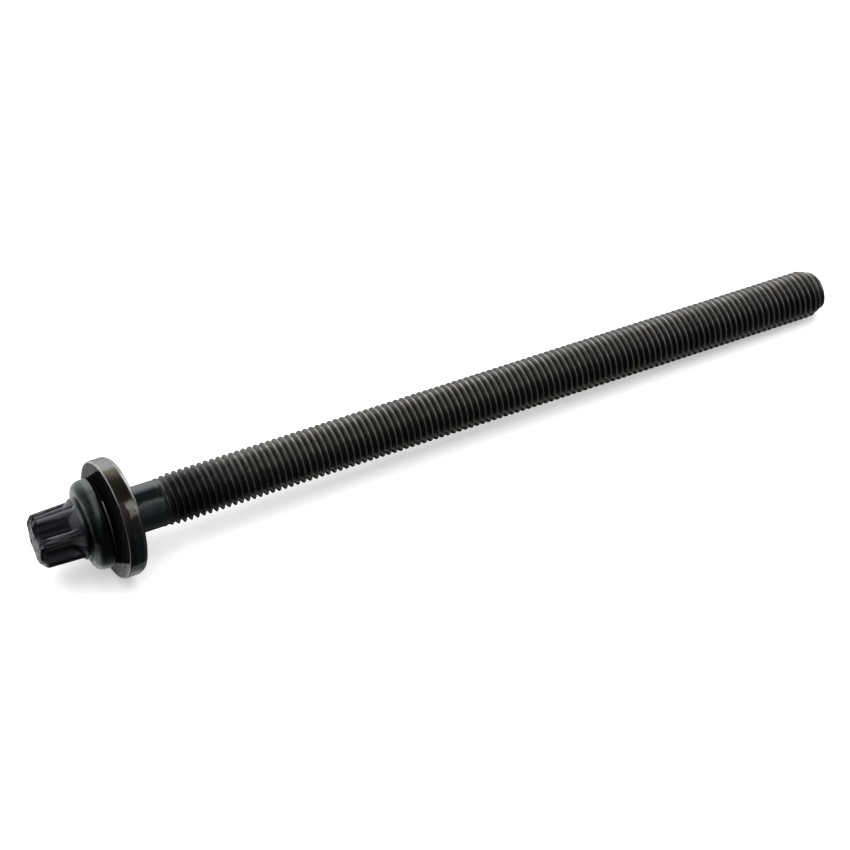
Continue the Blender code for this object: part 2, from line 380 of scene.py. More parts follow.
def drive_line(radius):
    """Line of one column from the middle of the drive's end to the crease at the flange."""
    top = -DRIVE_HEIGHT
    slope = DRIVE_CHAMFER / (DRIVE_RADIUS * DRIVE_END_SHARE - DRIVE_END_RADIUS)
    narrow = radius * DRIVE_END_SHARE
    end_radius = min(narrow - DRIVE_EDGE_BREAK, DRIVE_END_RADIUS)
    chamfer = max(DRIVE_EDGE_BREAK, (narrow - DRIVE_END_RADIUS) * slope)
    cone = -COLLAR_HEIGHT - (COLLAR_RADIUS - radius) / math.tan(COLLAR_CONE_ANGLE)
    corners = (
        (0.06 * end_radius, top + DRIVE_END_DISH),
        (0.5 * end_radius, top + DRIVE_END_DISH),
        (end_radius, top),
        (narrow, top + chamfer),
        (radius, cone),
        (COLLAR_RADIUS, -COLLAR_HEIGHT),
        (COLLAR_RADIUS, -FLANGE_THICKNESS - COLLAR_FILLET),
    )
    return divided(softened(corners, DRIVE_CUTS), DRIVE_PARTS)


def flange_line(seat):
    """Line of one column from the collar's fillet over the shoulder and the side to the low seat ring."""
    line = []
    for step in range(1, COLLAR_STEPS + 1):
        turn = 0.5 * math.pi * step / COLLAR_STEPS
        line.append((
            COLLAR_RADIUS + COLLAR_FILLET * (1.0 - math.cos(turn)),
            -FLANGE_THICKNESS - COLLAR_FILLET * (1.0 - math.sin(turn)),
        ))
    for step in range(1, SHOULDER_STEPS + 1):
        turn = 0.5 * math.pi * step / SHOULDER_STEPS
        line.append((
            FLANGE_RADIUS - SHOULDER_WIDTH * (1.0 - math.sin(turn) ** SHOULDER_FULLNESS),
            SHOULDER_HEIGHT * (1.0 - abs(math.cos(turn)) ** SHOULDER_FULLNESS) - FLANGE_THICKNESS,
        ))
    for step in range(EDGE_STEPS + 1):
        turn = 0.5 * math.pi * step / EDGE_STEPS
        line.append((
            FLANGE_RADIUS - FLANGE_EDGE * (1.0 - math.cos(turn)),
            FLANGE_EDGE * (math.sin(turn) - 1.0) - SEAT_GROOVE,
        ))
    line.append((SEAT_RADIUS + SEAT_GROOVE, -SEAT_GROOVE))
    line.append((SEAT_RADIUS, seat - min(SEAT_EDGE, 0.5 * (seat + SEAT_GROOVE))))
    line.append((SEAT_RADIUS - SEAT_EDGE, seat))
    line.append((NECK_RADIUS + 2.2 * NECK_FILLET, seat))
    line.append((NECK_RADIUS + 2.0 * NECK_FILLET, 0.0))
    return [np.array(point) for point in line]


def thread_radius(z, angles):
    """Radius of the threaded shank at z and at an angle round it: run-out, helix and point together."""
    phase = ((z - THREAD_PHASE) / THREAD_PITCH - angles / (2.0 * math.pi)) % 1.0
    section = np.array(THREAD_SECTION + ((1.0, 0.0),))
    depth = np.interp(phase, section[:, 0], section[:, 1])
    height = np.clip((z - NECK_LENGTH) / THREAD_RUNOUT, 0.0, 1.0)
    crest = NECK_RADIUS + (THREAD_RADIUS - NECK_RADIUS) * height
    root = NECK_RADIUS + (THREAD_RADIUS - THREAD_DEPTH - NECK_RADIUS) * height
    crest = np.minimum(crest, point_radius(z))
    root = np.minimum(root, crest - POINT_GROOVE * height)
    return root + (crest - root) * depth


def point_radius(z):
    """Radius that the point leaves at z, with a rounded edge at its end."""
    from_end = SHANK_LENGTH - z
    slope = (FACETED_THREAD_RADIUS - POINT_RADIUS) / (POINT_LENGTH - POINT_EDGE)
    long_part = POINT_RADIUS + slope * (from_end - POINT_EDGE)
    share = np.clip(from_end / POINT_EDGE, 0.0, 1.0)
    end_part = POINT_END_RADIUS + (POINT_RADIUS - POINT_END_RADIUS) * np.sqrt(1.0 - (1.0 - share) ** 2)
    return np.where(from_end < POINT_EDGE, end_part, long_part)


def seat_heights(pose, washer_place, washer_axis, angles):
    """Reach of the seat ring below the flange, kept clear of the leaning washer's near face."""
    local = pose.inverted()
    place = local @ washer_place
    normal = local.to_3x3() @ washer_axis
    sideways = SEAT_RADIUS * (normal.x * np.cos(angles) + normal.y * np.sin(angles))
    height = (place.dot(normal) - sideways) / normal.z
    return np.clip(height - SEAT_CLEARANCE, SEAT_SUNK, SEAT_HEIGHT)


def head_rows(angles, seats):
    """Rows of the head from the drive's end to the seat ring; the angles start at the middle of a lobe."""
    drive = np.array([drive_line(lobe_outline(angle)) for angle in angles]).transpose(1, 0, 2)
    flange = np.array([flange_line(seat) for seat in seats]).transpose(1, 0, 2)
    return np.concatenate((drive, flange))


def neck_rows():
    """Rows of the fillet under the flange and of the plain neck."""
    line = [(NECK_RADIUS + NECK_FILLET + 0.2 * MM, 0.0)]
    for step in range(FILLET_STEPS + 1):
        turn = 0.5 * math.pi * step / FILLET_STEPS
        line.append((NECK_RADIUS + NECK_FILLET * (1.0 - math.sin(turn)), NECK_FILLET * (1.0 - math.cos(turn))))
    for step in range(1, NECK_STEPS + 1):
        line.append((NECK_RADIUS, NECK_FILLET + (NECK_LENGTH - NECK_FILLET) * step / NECK_STEPS))
    return round_rows(line, SHANK_COLUMNS)


def thread_rows(angles, thread_end):
    """Rows that climb with the helix; beyond either end of the thread they fall together and are merged."""
    turns = int((thread_end - NECK_LENGTH) / THREAD_PITCH) + 3
    along = (np.arange(turns)[:, None] - 1.0 + np.array(THREAD_SECTION)[None, :, 0]).reshape(-1)
    climb = np.arange(SHANK_COLUMNS) / SHANK_COLUMNS
    first_z = THREAD_PHASE + THREAD_PITCH * (
        math.floor((NECK_LENGTH - THREAD_PHASE) / THREAD_PITCH) + DRIVE_TURN / (2.0 * math.pi) % 1.0
    )
    z = np.clip(first_z + THREAD_PITCH * (along[:, None] + climb[None, :]), NECK_LENGTH, thread_end)
    return np.stack((thread_radius(z, angles), z), axis=-1)


def point_rows(angles, thread_end):
    """Rows of the point's rounded edge, with what is left of the thread on it, and of its flat end."""
    turns = [0.5 * math.pi * step / END_STEPS for step in range(END_STEPS + 1)]
    edge = round_rows([(0.0, thread_end + POINT_EDGE * math.sin(turn)) for turn in turns], SHANK_COLUMNS)
    edge[..., 0] = np.minimum(point_radius(edge[..., 1]), thread_radius(edge[..., 1], angles))
    flat = [(POINT_END_RADIUS * factor, SHANK_LENGTH) for factor in (0.96, 0.6, 0.2)]
    return np.concatenate((edge, round_rows(flat, SHANK_COLUMNS)))


def shank_faces(rings, thread_start, thread_stop):
    """Faces of the shank, where the last column of a turn of the thread meets the first of the next turn."""
    faces = []
    per_turn = len(THREAD_SECTION)
    for row in range(len(rings) - 1):
        first, second = rings[row], rings[row + 1]
        if not thread_start <= row < thread_stop - 1:
            faces.extend(ring_faces(first, second))
            continue
        faces.extend(ring_faces(first, second)[:-1])
        if row + 1 + per_turn < thread_stop:
            ahead, beyond = rings[row + per_turn], rings[row + 1 + per_turn]
            faces.append((first[-1], ahead[0], beyond[0], second[-1]))
    return faces


def build_bolt(material, pose, washer_place, washer_axis):
    """The whole bolt as one fine mesh: head, neck, helical thread and point."""
    lobe_angles = 2.0 * math.pi * np.arange(HEAD_COLUMNS) / HEAD_COLUMNS
    head_angles = lobe_angles + DRIVE_TURN
    seats = seat_heights(pose, washer_place, washer_axis, head_angles)
    head = polar_rings(head_rows(lobe_angles, seats), head_angles)
    vertices = [(0.0, 0.0, -DRIVE_HEIGHT + DRIVE_END_DISH), *head.reshape(-1, 3)]
    rings = ring_numbers(1, len(head), HEAD_COLUMNS)
    faces = [(0, rings[0][(k + 1) % HEAD_COLUMNS], rings[0][k]) for k in range(HEAD_COLUMNS)]
    for first, second in zip(rings, rings[1:]):
        faces.extend(ring_faces(second, first))

    thread_end = SHANK_LENGTH - POINT_EDGE
    shank_angles = 2.0 * math.pi * np.arange(SHANK_COLUMNS) / SHANK_COLUMNS + DRIVE_TURN
    neck = neck_rows()
    thread = thread_rows(shank_angles, thread_end)
    rows = np.concatenate((neck, thread, point_rows(shank_angles, thread_end)))
    shank = ring_numbers(len(vertices), len(rows), SHANK_COLUMNS)
    vertices.extend(polar_rings(rows, shank_angles).reshape(-1, 3))

    # Every column of the shank takes up several of the finer head's
    share = HEAD_COLUMNS // SHANK_COLUMNS
    for k in range(SHANK_COLUMNS):
        outer = [rings[-1][(k * share + m) % HEAD_COLUMNS] for m in range(share + 1)]
        faces.append((shank[0][k], shank[0][(k + 1) % SHANK_COLUMNS], *reversed(outer)))
    faces.extend(shank_faces(shank, len(neck), len(neck) + len(thread)))
    faces.append(tuple(reversed(shank[-1])))
    return mesh_object("bolt_fine", vertices, faces, material, pose)


def build_washer(material, pose):
    """Fine thick ring with rounded rim edges and broken bore edges."""
    corners = (
        (WASHER_BORE_RADIUS, 0.5 * WASHER_THICKNESS),
        (WASHER_BORE_RADIUS, BORE_EDGE),
        (WASHER_BORE_RADIUS + BORE_EDGE, 0.0),
        (WASHER_RADIUS, 0.0),
        (WASHER_RADIUS, WASHER_THICKNESS - FAR_RIM_EDGE),
        (WASHER_RADIUS - FAR_RIM_SLOPE * FAR_RIM_EDGE, WASHER_THICKNESS),
        (WASHER_BORE_RADIUS + BORE_EDGE, WASHER_THICKNESS),
        (WASHER_BORE_RADIUS, WASHER_THICKNESS - BORE_EDGE),
        (WASHER_BORE_RADIUS, 0.5 * WASHER_THICKNESS),
    )
    rows = round_rows(divided(softened(corners, WASHER_CUTS), WASHER_PARTS)[:-1], WASHER_COLUMNS)
    angles = 2.0 * math.pi * np.arange(WASHER_COLUMNS) / WASHER_COLUMNS
    vertices = polar_rings(rows, angles).reshape(-1, 3)
    rings = ring_numbers(0, len(rows), WASHER_COLUMNS)
    faces = []
    for first, second in zip(rings, rings[1:] + rings[:1]):
        faces.extend(ring_faces(second, first))
    return mesh_object("washer_fine", vertices, faces, material, pose)


def frame_matrix(place, along):
    """Matrix whose local +Z is along and whose local +X is as near down as it can be."""
    z_axis = along.normalized()
    down = Vector((0.0, 0.0, -1.0))
    x_axis = (down - z_axis * down.dot(z_axis)).normalized()
    turn = Matrix((x_axis, z_axis.cross(x_axis), z_axis)).transposed().to_4x4()
    return Matrix.Translation(place) @ turn


# Materials

WHITE = grey(1.0)
BLACK = grey(0.0)

# Colours of the bolt's steel
OXIDE = colour(0.125, 0.132, 0.132), colour(0.165, 0.172, 0.170)
LOBE_STEEL = colour(0.105, 0.105, 0.117)
FLUTE_STEEL = colour(0.058, 0.058, 0.066)
UNDERSIDE_PAINTED_SHADE = colour(0.055, 0.055, 0.062)
LOBE_PAINTED_HIGHLIGHT = colour(0.62, 0.62, 0.64)
FLANK_PAINTED_HIGHLIGHT = colour(0.30, 0.30, 0.32)
CONE_PAINTED_HIGHLIGHT = colour(0.25, 0.25, 0.27)
SCRATCH = colour(0.40, 0.40, 0.42)
DRIVE_END = colour(0.05, 0.05, 0.055), colour(0.15, 0.15, 0.155)
DRIVE_END_SHEEN = colour(0.15, 0.15, 0.16), colour(0.75, 0.75, 0.77)
SEAT_PAINTED_SHADE = colour(0.06, 0.06, 0.065)
DEEP_BLACK = grey(0.01)
CREASE_SHADE = colour(0.02, 0.02, 0.022)
NECK_TINT = colour(1.0, 1.01, 1.06)
FIRST_TURNS_TINT = colour(0.42, 0.42, 0.43)
OTHER_TURNS_TINT = colour(1.05, 1.04, 1.01)
FAR_FRONT_SHADE = colour(0.66, 0.67, 0.70)
RUST = colour(0.30, 0.205, 0.14)
ROOT_BLACK = colour(0.06, 0.06, 0.063)
CREST_STEEL = colour(0.93, 0.92, 0.89)
SEAM_BLACK = colour(0.08, 0.08, 0.083)

# Ramps reach no further than 1, so what they multiply is raised by these afterwards
TONE_GAIN = 6.0
LOCAL_GAIN = 2.5
GRIME_GAIN = 1.2

# Ramps round the bolt, which paint light and shade by side, some together with wear, dirt or dust: (share of a
# turn from its top line down its front, shade)
# Crests rubbed bare, with painted highlights brightest along the top and upper front
CREST_WEAR_AND_HIGHLIGHT = (
    (0.0, 0.8), (0.02, 1.0), (0.10, 1.0), (0.14, 0.75), (0.25, 0.55), (0.28, 0.2), (0.36, 0.1), (0.88, 0.1),
    (0.93, 0.3), (0.965, 0.8),
)
# Roots darkened by dirt and by painted shade, most on the top and front
ROOT_DIRT_AND_SHADE = (
    (0.0, 1.0), (0.27, 1.0), (0.295, 0.35), (0.36, 0.35), (0.86, 0.3), (0.93, 0.4), (0.97, 0.8),
)
# Dust together with painted light and shade by side round the thread
THREAD_DUST_AND_SHADE = (
    (0.0, 0.27), (0.010, 0.33), (0.026, 0.38), (0.043, 0.48), (0.059, 0.48), (0.076, 0.42), (0.093, 0.34),
    (0.109, 0.28), (0.126, 0.21), (0.143, 0.195), (0.20, 0.165), (0.226, 0.13), (0.25, 0.12), (0.263, 0.13),
    (0.276, 0.18), (0.293, 0.80), (0.309, 1.0), (0.326, 0.36), (0.36, 0.2), (0.80, 0.17), (0.904, 0.27),
    (0.96, 0.23),
)
# Painted light and shade by side: on the flange and its shoulder, on the shoulder's inner curve and on the
# collar
FLANGE_PAINTED_SHADE = (
    (0.0, 0.30), (0.0094, 0.48), (0.026, 0.73), (0.043, 0.90), (0.059, 0.73), (0.076, 0.38), (0.093, 0.15),
    (0.109, 0.075), (0.143, 0.030), (0.16, 0.040), (0.20, 0.055), (0.243, 0.085), (0.276, 0.13), (0.293, 0.22),
    (0.309, 0.45), (0.326, 0.65), (0.345, 0.75), (0.42, 0.16), (0.80, 0.14), (0.904, 0.18), (0.982, 0.21),
)
SHOULDER_PAINTED_SHADE = (
    (0.0, 0.22), (0.03, 0.13), (0.07, 0.13), (0.10, 0.45), (0.13, 1.0), (0.88, 1.0), (0.93, 0.7), (0.97, 0.3),
)
INNER_PAINTED_SHADE = (
    (0.0, 0.38), (0.026, 0.72), (0.059, 1.0), (0.093, 0.8), (0.126, 0.4), (0.159, 0.36), (0.193, 0.05),
    (0.226, 0.015), (0.259, 0.07), (0.293, 0.32), (0.33, 0.4), (0.80, 0.3), (0.893, 0.21), (0.926, 0.15),
    (0.959, 0.18), (0.993, 0.30),
)
COLLAR_PAINTED_SHADE = (
    (0.0, 0.5), (0.009, 0.55), (0.043, 0.88), (0.076, 0.57), (0.109, 0.38), (0.143, 0.38), (0.276, 0.3),
    (0.31, 0.4), (0.80, 0.4), (0.909, 0.66), (0.943, 0.45), (0.976, 0.44),
)
# Painted highlight on the shoulder's lower front
LOWER_GLEAM = ((0.18, 0.0), (0.20, 0.22), (0.24, 0.30), (0.27, 0.12), (0.29, 0.0))
# Painted shade on the flange's lower edge
LOWER_EDGE_PAINTED_SHADE = (
    (0.0, 0.0), (0.01, 0.7), (0.04, 0.8), (0.09, 0.88), (0.15, 0.8), (0.18, 0.3), (0.21, 0.0), (0.998, 0.0),
)
# Painted shade on the neck, darker along its top as far as its upper front
NECK_PAINTED_SHADE = ((0.0, 0.80), (0.0735, 0.80), (0.0765, 1.0), (0.10, 1.0), (0.13, 0.92), (0.30, 1.0), (0.90, 1.0))
CONE_GLEAM = ((0.0, 0.6), (0.03, 1.0), (0.09, 0.9), (0.12, 0.0), (0.95, 0.0))
# Painted gleam along the seat ring's lip, brightest near the top and fading towards the front
LIP_PAINTED_GLEAM = (
    (0.0, 0.005), (0.036, 0.005), (0.046, 0.23), (0.084, 0.095), (0.137, 0.055), (0.18, 0.025), (0.23, 0.01),
    (0.5, 0.005),
)
# Painted shade on the reflections along the shank's lower side
UNDER_SHEEN = ((0.312, 1.0), (0.340, 0.3), (0.45, 0.3), (0.55, 1.0))

# Spans round the bolt in the same shares: (start, end, softness)
# The drive's underside, the shoulder's foot and the thread's front take painted shade; the lobe and the flank
# take a painted highlight
DRIVE_UNDERSIDE = (0.20, 0.34, 0.03)
LOBE_HIGHLIGHT_SPAN = (0.984, 0.995, 0.006)
FLANK_HIGHLIGHT_SPAN = (0.155, 0.205, 0.012)
SHADED_FOOT = (0.16, 0.225, 0.03)
FRONT = (0.07, 0.26, 0.02)

# Spans along the bolt, where a mask goes from 0 to 1
THREAD_STARTS = (13.5 * MM, 16.0 * MM)
RUN_IN = (17.0 * MM, 36.0 * MM)
PAST_FIRST_TURNS = (30.0 * MM, 70.0 * MM)
SEAM_FADES = (60.0 * MM, 24.0 * MM)
FAR_PART = (90.0 * MM, 150.0 * MM)
HEAD_STARTS = (1.0 * MM, 0.0)
DRIVE_STARTS = (-4.6 * MM, -5.2 * MM)
LOBES_START = (-6.2 * MM, -7.4 * MM)
FLUTES_START = (-6.4 * MM, -7.0 * MM)
DRIVE_END_STARTS = (-DRIVE_HEIGHT + 1.6 * MM, -DRIVE_HEIGHT + 1.0 * MM)


class BoltSurface:
    """Where a point of the bolt lies, with the masks and the noises that its colours share."""

    def __init__(self, graph, pose):
        self.graph = graph
        self.place, self.radius, self.angle, self.z = cylinder_coordinates(graph, pose)
        self.cloud = graph.noise(self.place, 260.0, 3.0, 0.55)
        self.marks = graph.noise(self.place, 900.0, 3.0, 0.6)
        self.streaks = graph.noise(graph.scaled(self.place, (1.0, 1.0, 0.10)), 1500.0, 3.0, 0.6, 0.4)

        share = graph.math("DIVIDE", self.angle, 2.0 * math.pi)
        from_top = graph.math("ADD", share, 0.5)
        self.turn = graph.math("FRACT", from_top)
        self.ragged_turn = graph.math("FRACT", graph.math("ADD", from_top, graph.spread(self.cloud, 0.02)))
        # Share of the pitch between the point and the nearest crest
        climb = graph.math("MULTIPLY_ADD", self.z, 1.0 / THREAD_PITCH, -THREAD_PHASE / THREAD_PITCH)
        phase = graph.math("FRACT", graph.math("SUBTRACT", climb, share))
        self.from_crest = graph.math("ABSOLUTE", graph.math("SUBTRACT", phase, 0.5))

        self.thread = graph.smooth(self.z, *THREAD_STARTS)
        self.run_in = graph.smooth(self.z, *RUN_IN)
        self.later_turns = graph.smooth(self.z, *PAST_FIRST_TURNS)
        self.head = graph.smooth(self.z, *HEAD_STARTS)
        self.drive = graph.smooth(self.z, *DRIVE_STARTS)
        self.drive_end = graph.smooth(self.z, *DRIVE_END_STARTS)
        self.underside = graph.window(self.ragged_turn, *DRIVE_UNDERSIDE)
        on_seat = graph.smooth(self.radius, 8.6 * MM, 9.0 * MM)
        self.seat = graph.times(graph.smooth(self.z, -0.05 * MM, 0.05 * MM), on_seat)
        self.lip = graph.times(self.seat, graph.smooth(self.z, 0.36 * MM, 0.50 * MM))
        self.crest, self.root = self.thread_wear_and_shade()

    def thread_wear_and_shade(self):
        """Masks of the rubbed crests with painted highlights, uneven and faint on the first turns, and of the
        roots darkened by dirt and painted shade.
        """
        graph = self.graph
        uneven = graph.noise(graph.scaled(self.place, (0.12, 0.12, 1.0)), 460.0, 2.0, 0.6)
        patchy = graph.noise(self.place, 700.0, 5.0, 0.7)
        # Crests rubbed bare, with painted highlights brightest along the top and upper front
        crest = graph.times(
            graph.smooth(self.from_crest, 0.19, 0.07),
            self.thread,
            graph.ramp(self.turn, CREST_WEAR_AND_HIGHLIGHT),
            graph.blend(graph.smooth(uneven, 0.36, 0.60), 0.6, 1.0),
            graph.blend(self.run_in, 0.45, 1.0),
            graph.blend(graph.smooth(patchy, 0.36, 0.62), graph.blend(self.later_turns, 0.35, 0.7), 1.0),
        )
        # Roots darkened by dirt and by painted shade, most on the top and front
        root = graph.times(
            graph.smooth(self.from_crest, 0.27, 0.42), self.thread, graph.ramp(self.turn, ROOT_DIRT_AND_SHADE))
        return crest, root


def head_painted_shade(on):
    """Painted light and shade on collar and flange, by side round them: grey above and below, and deep black at
    the front.
    """
    graph, z, radius, turn = on.graph, on.z, on.radius, on.ragged_turn
    # Painted light and shade by side on the flange and its shoulder
    tone = graph.ramp(turn, FLANGE_PAINTED_SHADE)
    shoulder = graph.window(z, -3.9 * MM, -2.4 * MM, 1.0 * MM)
    tone = graph.multiply(tone, graph.mix(shoulder, WHITE, graph.ramp(turn, SHOULDER_PAINTED_SHADE)))

    # Painted light and shade by side on the shoulder's inner curve and on the collar
    inner = graph.times(graph.smooth(z, -3.35 * MM, -3.75 * MM), graph.smooth(radius, 7.0 * MM, 7.25 * MM))
    local = graph.mix(inner, grey(1.0 / LOCAL_GAIN), graph.ramp(turn, INNER_PAINTED_SHADE))
    on_collar = graph.smooth(radius, 7.05 * MM, 6.98 * MM)
    local = graph.mix(on_collar, local, graph.ramp(turn, COLLAR_PAINTED_SHADE))
    tone = graph.multiply(graph.multiply(tone, local), grey(LOCAL_GAIN))

    # Painted highlight on the shoulder's lower front
    gleam = graph.times(graph.window(z, -3.35 * MM, -2.9 * MM, 0.35 * MM), graph.ramp(turn, LOWER_GLEAM))
    tone = graph.mix(gleam, tone, WHITE)
    # Painted shade: the flange's lower edge is painted deep black over a zone that widens from the top to the
    # front
    lowered = graph.math("ADD", z, graph.math("MULTIPLY_ADD", turn, 8.1 * MM, 0.45 * MM))
    dark_edge_shade = graph.times(graph.ramp(turn, LOWER_EDGE_PAINTED_SHADE), graph.smooth(lowered, -0.15 * MM, 0.25 * MM))
    tone = graph.mix(dark_edge_shade, tone, DEEP_BLACK)
    foot = graph.times(
        graph.window(z, -4.3 * MM, -3.55 * MM, 0.2 * MM),
        graph.smooth(radius, 7.0 * MM, 7.1 * MM),
        graph.window(turn, *SHADED_FOOT),
        0.85,
    )
    tone = graph.mix(foot, tone, BLACK)
    toned = graph.times(on.head, graph.smooth(z, -5.6 * MM, -4.9 * MM))
    return graph.mix(toned, grey(1.0 / TONE_GAIN), tone)


def neck_shade_strip(on):
    """Cool black of the neck, with a strip of painted shade along its upper front that ends in a wavy border.
    """
    graph = on.graph
    wave = graph.noise(graph.scaled(on.place, (0.2, 0.2, 1.0)), 420.0, 2.0, 0.5)
    wavy = graph.math("ADD", on.ragged_turn, graph.spread(wave, 0.07))
    strip = graph.multiply(graph.ramp(wavy, NECK_PAINTED_SHADE), NECK_TINT)
    return graph.mix(graph.window(on.z, 1.0 * MM, 12.5 * MM, 0.6 * MM), WHITE, strip)


def with_drive(on, base):
    """Drive with dark flutes, painted shade on its lower front, painted highlights on one lobe, on one flank
    and on the upper side of the cone where the flutes run out, scratched lobes and a mottled end.
    """
    graph, turn = on.graph, on.ragged_turn
    fluted = graph.times(graph.smooth(on.radius, 5.9 * MM, 5.2 * MM), graph.smooth(on.z, *FLUTES_START))
    steel = graph.mix(fluted, LOBE_STEEL, FLUTE_STEEL)
    # Painted shade on the drive's lower front
    steel = graph.mix(on.underside, steel, UNDERSIDE_PAINTED_SHADE)
    # Painted highlight along one lobe
    steel = graph.mix(graph.window(turn, *LOBE_HIGHLIGHT_SPAN), steel, LOBE_PAINTED_HIGHLIGHT)
    # Painted highlight on one flank
    steel = graph.mix(graph.window(turn, *FLANK_HIGHLIGHT_SPAN), steel, FLANK_PAINTED_HIGHLIGHT)
    # Painted highlight on the cone's upper side, where the flutes run out
    cone = graph.times(graph.window(on.z, -6.6 * MM, -5.2 * MM, 0.6 * MM), graph.ramp(turn, CONE_GLEAM))
    steel = graph.mix(cone, steel, CONE_PAINTED_HIGHLIGHT)
    base = graph.mix(on.drive, base, steel)

    scratched = graph.times(
        graph.smooth(on.streaks, 0.52, 0.62),
        graph.smooth(on.radius, 4.9 * MM, 6.2 * MM),
        graph.smooth(on.z, *LOBES_START),
        graph.blend(on.underside, 1.0, 0.3),
        on.drive,
    )
    base = graph.mix(scratched, base, SCRATCH)
    return graph.mix(on.drive_end, base, graph.mix(graph.smooth(on.marks, 0.42, 0.56), *DRIVE_END))


def with_gap(on, base):
    """Low seat ring with painted shade under the flange, a painted gleam along its thin lip, and painted shade
    in the gap between flange and washer.
    """
    graph = on.graph
    # Painted shade on the seat ring under the flange
    base = graph.mix(on.seat, base, SEAT_PAINTED_SHADE)
    # Painted gleam along the lip, by side round the ring
    base = graph.mix(on.lip, base, graph.ramp(on.ragged_turn, LIP_PAINTED_GLEAM))
    # Painted shade in the gap between flange and washer
    gap_shade = graph.times(
        graph.smooth(on.z, 0.1 * MM, 0.3 * MM),
        graph.smooth(on.z, 5.2 * MM, 3.4 * MM),
        graph.smooth(on.radius, 8.6 * MM, 8.2 * MM),
        0.85,
    )
    return graph.mix(gap_shade, base, DEEP_BLACK)


def with_thread(on, base):
    """Thread with dust and painted light and shade round it, painted shade on the far part's front, specks of
    rust, roots darkened by dirt and painted shade, rubbed crests with painted highlights, a fine seam on the
    first turns and grime.
    """
    graph = on.graph
    # Dust together with painted light and shade by side round the thread
    dust_and_shade = graph.multiply(
        graph.ramp(on.turn, THREAD_DUST_AND_SHADE), graph.mix(on.run_in, FIRST_TURNS_TINT, OTHER_TURNS_TINT))
    # Painted shade on the front of the thread's far part
    far_front_shade = graph.times(graph.window(on.ragged_turn, *FRONT), graph.smooth(on.z, *FAR_PART))
    dust_and_shade = graph.multiply(dust_and_shade, graph.mix(far_front_shade, WHITE, FAR_FRONT_SHADE))
    base = graph.mix(on.thread, base, dust_and_shade)

    rusty = graph.smooth(graph.noise(on.place, 620.0, 3.0, 0.6), 0.60, 0.70)
    base = graph.mix(graph.times(rusty, on.thread, 0.4), base, RUST)
    base = graph.mix(graph.times(on.root, 0.8), base, ROOT_BLACK)
    base = graph.mix(on.crest, base, CREST_STEEL)
    seam = graph.times(
        graph.smooth(on.from_crest, 0.065, 0.03), graph.smooth(on.z, *SEAM_FADES), on.thread, 0.8)
    base = graph.mix(seam, base, SEAM_BLACK)

    grime = graph.noise(graph.scaled(on.place, (0.6, 0.6, 1.4)), 1300.0, 4.0, 0.7)
    first_turns = graph.multiply(graph.ramp(grime, ((0.34, 0.40), (0.5, 1.0))), grey(GRIME_GAIN))
    grimy = graph.mix(on.later_turns, first_turns, graph.ramp(grime, ((0.34, 0.72), (0.55, 1.0))))
    return graph.multiply(base, graph.mix(on.thread, WHITE, grimy))


def bolt_normal(on):
    """Shallow waves all over, ripples on the neck's front, scratches and dents on the drive, and fine grain."""
    graph = on.graph
    fine = graph.noise(on.place, 2200.0, 2.0, 0.6)
    waves = graph.noise(graph.scaled(on.place, (1.0, 1.0, 0.35)), 330.0, 2.0, 0.5)
    ripples = graph.noise(graph.scaled(on.place, (1.0, 1.0, 0.9)), 260.0, 1.0, 0.5)
    rippled = graph.times(
        graph.window(on.angle, -2.85, -2.2, 0.2),
        graph.smooth(on.z, 14.0 * MM, 12.0 * MM),
        graph.smooth(on.z, 0.0, 1.0 * MM),
    )
    normal = graph.bump(waves, 0.12 * MM, 0.35)
    normal = graph.bump(ripples, 0.36 * MM, rippled, normal)
    normal = graph.bump(on.streaks, 0.14 * MM, graph.times(on.drive, 0.8), normal)
    normal = graph.bump(on.marks, 0.10 * MM, graph.times(on.drive, 0.45), normal)
    return graph.bump(fine, 0.02 * MM, graph.blend(on.thread, 0.12, 0.6), normal)


def black_steel(pose):
    """Black oxide, glossy on the turned head and neck, worn on the thread's crests and the drive's edges, with
    light and shade painted round it by side.
    """
    material, graph, shader = new_material("black_steel_worn_and_shaded")
    on = BoltSurface(graph, pose)
    base = graph.mix(on.cloud, *OXIDE)
    # Painted light and shade on the head, then the neck's strip of painted shade
    base = graph.multiply(graph.multiply(base, head_painted_shade(on)), grey(TONE_GAIN))
    base = graph.multiply(base, neck_shade_strip(on))
    base = with_drive(on, base)
    base = with_gap(on, base)
    base = with_thread(on, base)
    # Painted shade in the crease between collar and flange
    crease = graph.times(
        graph.smooth(on.z, -4.3 * MM, -4.1 * MM), graph.smooth(on.radius, 8.0 * MM, 7.5 * MM), on.head)
    graph.put(shader.inputs["Base Color"], graph.mix(crease, base, CREASE_SHADE))
    graph.put(shader.inputs["Metallic"], graph.blend(on.lip, 1.0, 0.1))

    # Painted shade on the reflections along the shank's lower side
    sheen = graph.mix(graph.smooth(on.z, 0.0, 1.0 * MM), WHITE, graph.ramp(on.ragged_turn, UNDER_SHEEN))
    end_sheen = graph.mix(graph.smooth(on.marks, 0.40, 0.58), *DRIVE_END_SHEEN)
    graph.put(shader.inputs["Specular Tint"], graph.mix(on.drive_end, sheen, end_sheen))

    rough = graph.blend(on.cloud, 0.06, 0.14)
    rough = graph.blend(on.head, rough, 0.34)
    rough = graph.blend(on.drive, rough, graph.blend(on.marks, 0.22, 0.44))
    rough = graph.blend(on.thread, rough, 0.37)
    rough = graph.blend(on.root, rough, 0.50)
    rough = graph.blend(on.crest, rough, 0.30)
    graph.put(shader.inputs["Roughness"], rough)
    graph.put(shader.inputs["Normal"], bolt_normal(on))
    return material


# Colours of the washer's steel
BARE = colour(0.30, 0.30, 0.292)
